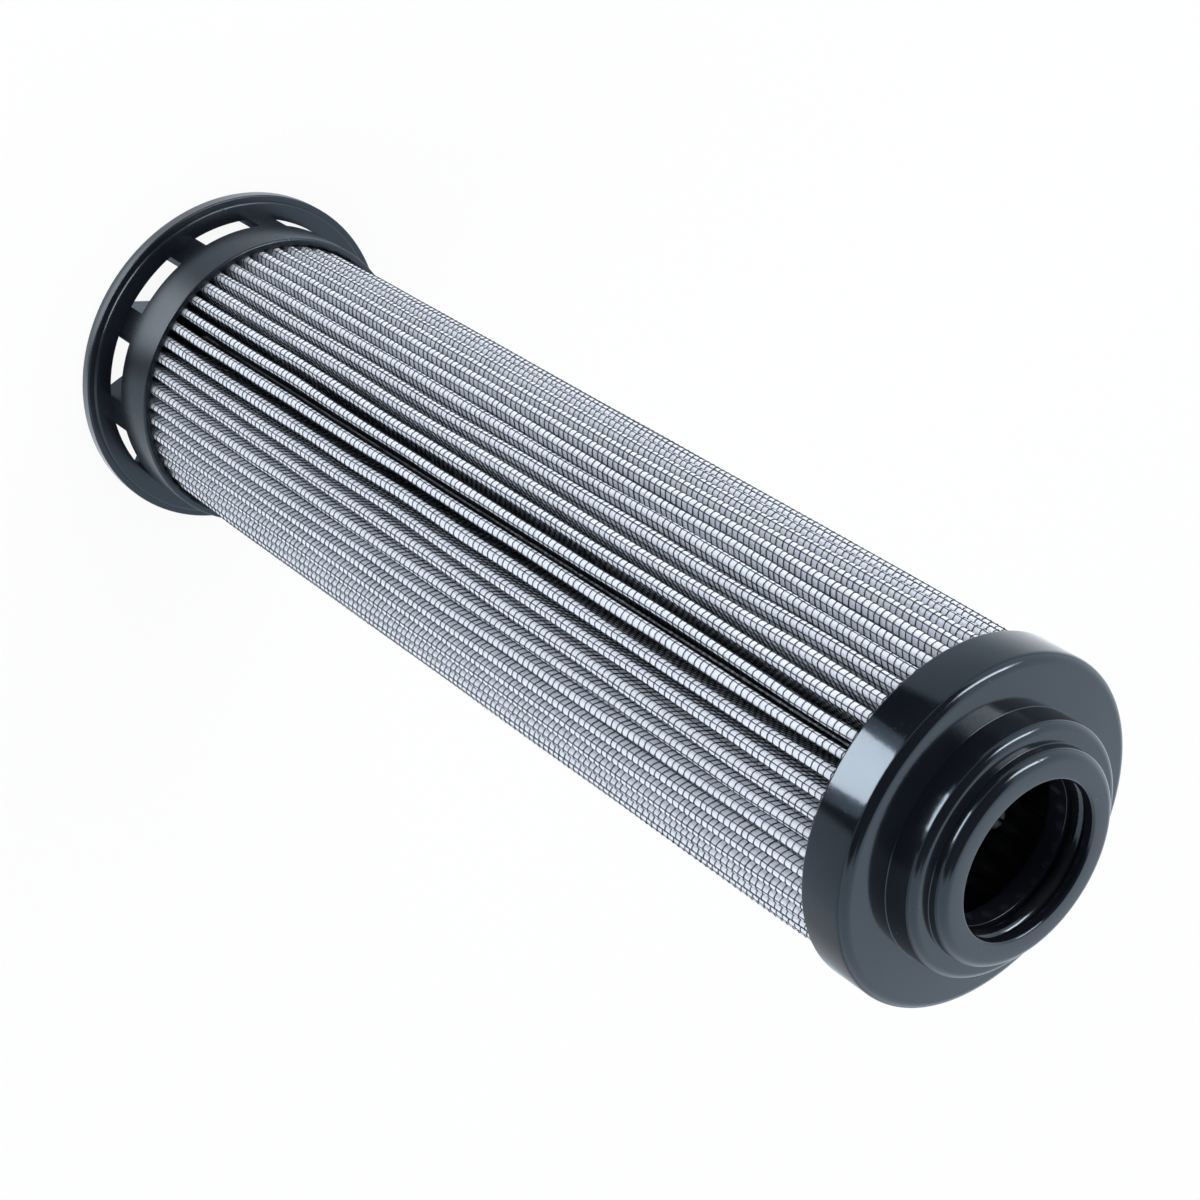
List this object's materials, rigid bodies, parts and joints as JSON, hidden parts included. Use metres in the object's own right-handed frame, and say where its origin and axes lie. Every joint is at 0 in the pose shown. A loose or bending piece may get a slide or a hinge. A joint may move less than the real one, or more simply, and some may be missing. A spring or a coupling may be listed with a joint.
{
  "type": "hydraulic filter",
  "caption": "Pleated return line filter element with a stepped outlet spigot at one end and a windowed skirt with a flange ring at the closed end.",
  "frame": {"origin": "centre of the flange ring's rear face, on the element's axis", "axes": "+Z along the element's axis, from the flange ring to the outlet spigot; +X through the middle of one window"},
  "size_m": [0.0834, 0.0834, 0.2703],
  "materials": {
    "cap_gloss": "gloss moulded nylon",
    "cap_satin": "satin moulded nylon",
    "seal_rubber": "smooth rubber",
    "core_steel": "tinned steel",
    "mesh_black": "black epoxy coated wire",
    "mesh_grey": "coated wire",
    "fleece": "spunbond fleece",
    "media": "glass fibre",
    "glue": "set adhesive",
    "adhesive": "set adhesive"
  },
  "bodies": {
    "root": {"outlet_cap": "cap_gloss", "bore_o_ring": "seal_rubber", "flange_cap": "cap_satin", "core_tube": "core_steel", "outer_mesh": "mesh_black", "outer_fleece": "fleece", "filter_media": "media", "inner_fleece": "fleece", "inner_mesh": "mesh_grey", "pleat_seam": "glue", "outlet_bed": "adhesive", "flange_bed": "adhesive"}
  },
  "joints": []
}
